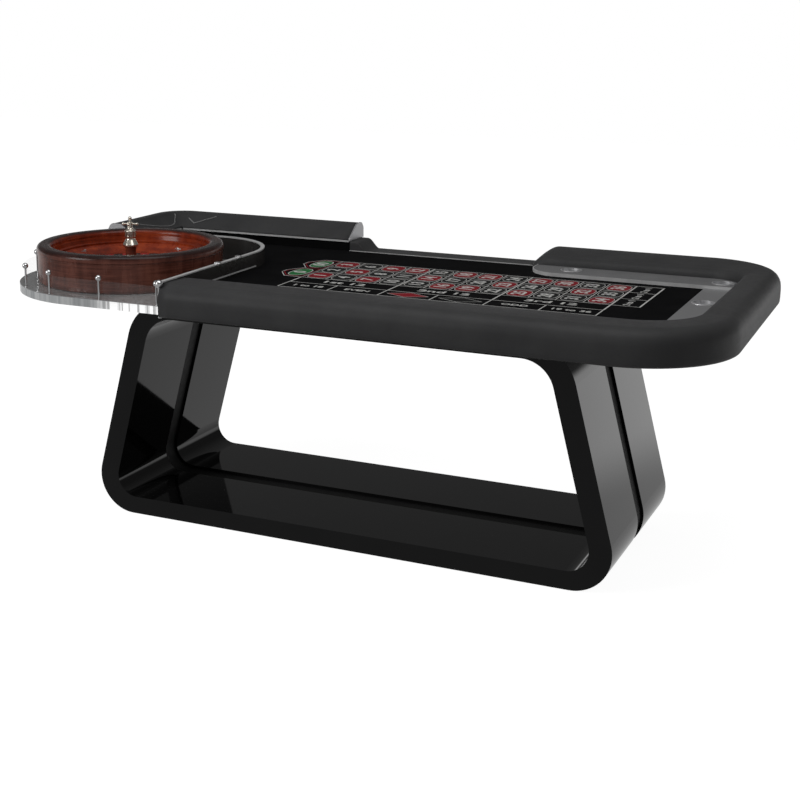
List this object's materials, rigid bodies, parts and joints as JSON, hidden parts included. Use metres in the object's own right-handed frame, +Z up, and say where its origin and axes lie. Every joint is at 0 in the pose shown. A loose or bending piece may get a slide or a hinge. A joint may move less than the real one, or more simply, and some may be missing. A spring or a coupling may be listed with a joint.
{
  "type": "roulette table",
  "caption": "Casino roulette table with a padded rail, printed black cloth, closed band base and a spinning wheel on a clear platform.",
  "frame": {"origin": "on the floor, under the middle of the bounding box", "axes": "+Z up, +X along the table's length towards the padded players' end, +Y towards the croupier's side"},
  "size_m": [2.459, 1.2886, 1.0188],
  "materials": {
    "black_lacquer": "high-gloss black lacquer on board",
    "groove_black": "matt black recessed strip",
    "glide_rubber": "black rubber",
    "zinc_steel": "black-coated steel",
    "plywood": "birch plywood, hidden",
    "charcoal_leather": "fine-grained charcoal upholstery leather",
    "black_panel": "satin black painted board",
    "ledge_grey": "smooth mid-grey leather facing",
    "brushed_plate": "fine straight brushing",
    "black_felt": "black wool baize",
    "printed_felt": "black baize with a printed betting grid",
    "polished_steel": "polished",
    "light_metal": "satin anodised",
    "clear_acrylic": "thick clear acrylic, polished edges",
    "clear_screen": "thin clear screen",
    "hardwood": "beech, hidden",
    "mahogany": "red-brown mahogany under clear gloss lacquer",
    "dark_veneer": "dark veneer under clear gloss lacquer",
    "bearing_brass": "machined",
    "number_enamel": "red, black and green gloss enamel",
    "pocket_enamel": "red, black and green gloss enamel",
    "fret_metal": "polished",
    "turret_metal": "polished champagne nickel"
  },
  "bodies": {
    "table": {"backrest_cushion": "charcoal_leather", "backrest_end_cap": "light_metal", "backrest_plinth": "black_lacquer", "backrest_trim": "light_metal", "ball_track": "dark_veneer", "base_centre_strip": "groove_black", "base_loop_back": "black_lacquer", "base_loop_front": "black_lacquer", "cup_holders": "polished_steel", "dealer_edge": "charcoal_leather", "dealer_trim": "light_metal", "deck_panel": "black_panel", "deflectors": "polished_steel", "end_plate": "brushed_plate", "felt_cloth": "black_felt", "fence_clips": "light_metal", "fence_edge_strip": "light_metal", "fence_foot_trim": "light_metal", "fence_trim": "light_metal", "fence_wall": "black_lacquer", "floor_glides": "glide_rubber", "guard_posts": "polished_steel", "layout_sheet": "printed_felt", "ledge_block": "ledge_grey", "ledge_trim": "light_metal", "mounting_bolts": "zinc_steel", "mounting_plates": "zinc_steel", "platform_dowels": "hardwood", "platform_pads": "glide_rubber", "playing_bed": "plywood", "rail_core": "plywood", "rail_cushion": "charcoal_leather", "side_end_cap": "light_metal", "spindle": "polished_steel", "thrust_washer": "bearing_brass", "wheel_bowl": "mahogany", "wheel_guard": "clear_screen", "wheel_platform": "clear_acrylic"},
    "rotor": {"number_ring": "number_enamel", "pocket_ring": "pocket_enamel", "pocket_frets": "fret_metal", "rotor_cone": "mahogany", "rotor_hub": "bearing_brass", "turret_base": "turret_metal", "turret_body": "turret_metal", "turret_cross": "turret_metal", "turret_finial": "turret_metal"}
  },
  "joints": [
    {"name": "rotor_spin", "type": "hinge", "parent": "table", "child": "rotor", "pos_m": [-0.8571, -0.2083, 0.8286], "axis": [0, 0, 1], "continuous": true}
  ]
}
